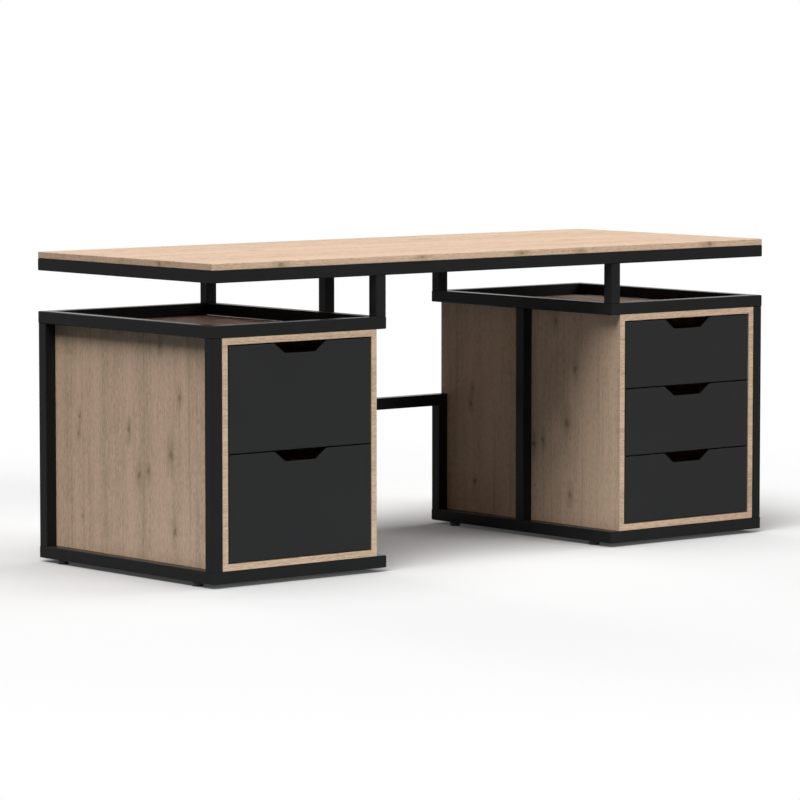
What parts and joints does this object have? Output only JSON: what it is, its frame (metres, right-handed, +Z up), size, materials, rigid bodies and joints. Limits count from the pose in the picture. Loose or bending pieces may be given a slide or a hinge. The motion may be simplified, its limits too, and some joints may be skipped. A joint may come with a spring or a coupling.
{
  "type": "executive desk",
  "caption": "Long oak-decor executive desk on a black square-tube frame, with open trays under a floating top and drawer pedestals with finger-notch fronts on telescopic slides.",
  "frame": {"origin": "on the floor, under the middle of the desk", "axes": "+X along the length, to the right of someone sitting at the desk; the drawers face -Y; +Z up"},
  "size_m": [1.8, 0.7, 0.766],
  "materials": {
    "oak_decor": "light oak decor, matte, straight grain with small knots",
    "black_steel": "matte black powder coat",
    "charcoal_board": "charcoal matte melamine board",
    "drawer_board": "light oak melamine board of the drawer boxes",
    "foot_plastic": "black moulded plastic",
    "zinc_steel": "bright zinc-plated steel"
  },
  "bodies": {
    "desk_frame": {"desktop_board": "oak_decor", "top_frame": "black_steel", "top_cross_rails": "black_steel", "desktop_tabs": "black_steel", "rear_crossbar": "black_steel", "centre_post": "black_steel", "joint_bolts": "zinc_steel", "glide_feet": "foot_plastic", "left_base_ring": "black_steel", "left_tray_ring": "black_steel", "left_front_post": "black_steel", "left_rear_post": "black_steel", "left_middle_post": "black_steel", "left_standoffs": "black_steel", "left_half_post": "black_steel", "left_cabinet_bottom": "oak_decor", "left_cabinet_top": "oak_decor", "left_cabinet_outer_side": "oak_decor", "left_cabinet_inner_side": "oak_decor", "left_cabinet_back": "oak_decor", "left_cabinet_slides": "zinc_steel", "right_base_ring": "black_steel", "right_tray_ring": "black_steel", "right_front_post": "black_steel", "right_rear_post": "black_steel", "right_middle_post": "black_steel", "right_standoffs": "black_steel", "right_half_post": "black_steel", "right_cabinet_bottom": "oak_decor", "right_cabinet_top": "oak_decor", "right_cabinet_outer_side": "oak_decor", "right_cabinet_inner_side": "oak_decor", "right_cabinet_back": "oak_decor", "right_cabinet_slides": "zinc_steel"},
    "left_upper_drawer": {"left_upper_drawer_front": "charcoal_board", "left_upper_drawer_walls": "drawer_board", "left_upper_drawer_bottom": "drawer_board", "left_upper_slide_inner": "zinc_steel"},
    "left_upper_slide": {"left_upper_slide_middle": "zinc_steel"},
    "left_lower_drawer": {"left_lower_drawer_front": "charcoal_board", "left_lower_drawer_walls": "drawer_board", "left_lower_drawer_bottom": "drawer_board", "left_lower_slide_inner": "zinc_steel"},
    "left_lower_slide": {"left_lower_slide_middle": "zinc_steel"},
    "right_upper_drawer": {"right_upper_drawer_front": "charcoal_board", "right_upper_drawer_walls": "drawer_board", "right_upper_drawer_bottom": "drawer_board", "right_upper_slide_inner": "zinc_steel"},
    "right_upper_slide": {"right_upper_slide_middle": "zinc_steel"},
    "right_middle_drawer": {"right_middle_drawer_front": "charcoal_board", "right_middle_drawer_walls": "drawer_board", "right_middle_drawer_bottom": "drawer_board", "right_middle_slide_inner": "zinc_steel"},
    "right_middle_slide": {"right_middle_slide_middle": "zinc_steel"},
    "right_lower_drawer": {"right_lower_drawer_front": "charcoal_board", "right_lower_drawer_walls": "drawer_board", "right_lower_drawer_bottom": "drawer_board", "right_lower_slide_inner": "zinc_steel"},
    "right_lower_slide": {"right_lower_slide_middle": "zinc_steel"}
  },
  "joints": [
    {"name": "left_upper_drawer_slide", "type": "slide", "parent": "desk_frame", "child": "left_upper_drawer", "axis": [0, -1, 0], "range_m": [0, 0.58]},
    {"name": "left_upper_middle_slide", "type": "slide", "parent": "desk_frame", "child": "left_upper_slide", "axis": [0, -1, 0], "range_m": [0, 0.29]},
    {"name": "left_lower_drawer_slide", "type": "slide", "parent": "desk_frame", "child": "left_lower_drawer", "axis": [0, -1, 0], "range_m": [0, 0.58]},
    {"name": "left_lower_middle_slide", "type": "slide", "parent": "desk_frame", "child": "left_lower_slide", "axis": [0, -1, 0], "range_m": [0, 0.29]},
    {"name": "right_upper_drawer_slide", "type": "slide", "parent": "desk_frame", "child": "right_upper_drawer", "axis": [0, -1, 0], "range_m": [0, 0.58]},
    {"name": "right_upper_middle_slide", "type": "slide", "parent": "desk_frame", "child": "right_upper_slide", "axis": [0, -1, 0], "range_m": [0, 0.29]},
    {"name": "right_middle_drawer_slide", "type": "slide", "parent": "desk_frame", "child": "right_middle_drawer", "axis": [0, -1, 0], "range_m": [0, 0.58]},
    {"name": "right_middle_middle_slide", "type": "slide", "parent": "desk_frame", "child": "right_middle_slide", "axis": [0, -1, 0], "range_m": [0, 0.29]},
    {"name": "right_lower_drawer_slide", "type": "slide", "parent": "desk_frame", "child": "right_lower_drawer", "axis": [0, -1, 0], "range_m": [0, 0.58]},
    {"name": "right_lower_middle_slide", "type": "slide", "parent": "desk_frame", "child": "right_lower_slide", "axis": [0, -1, 0], "range_m": [0, 0.29]}
  ],
  "couplings": [
    {"joint": "left_upper_middle_slide", "follows": "left_upper_drawer_slide", "ratio": 0.5},
    {"joint": "left_lower_middle_slide", "follows": "left_lower_drawer_slide", "ratio": 0.5},
    {"joint": "right_upper_middle_slide", "follows": "right_upper_drawer_slide", "ratio": 0.5},
    {"joint": "right_middle_middle_slide", "follows": "right_middle_drawer_slide", "ratio": 0.5},
    {"joint": "right_lower_middle_slide", "follows": "right_lower_drawer_slide", "ratio": 0.5}
  ]
}
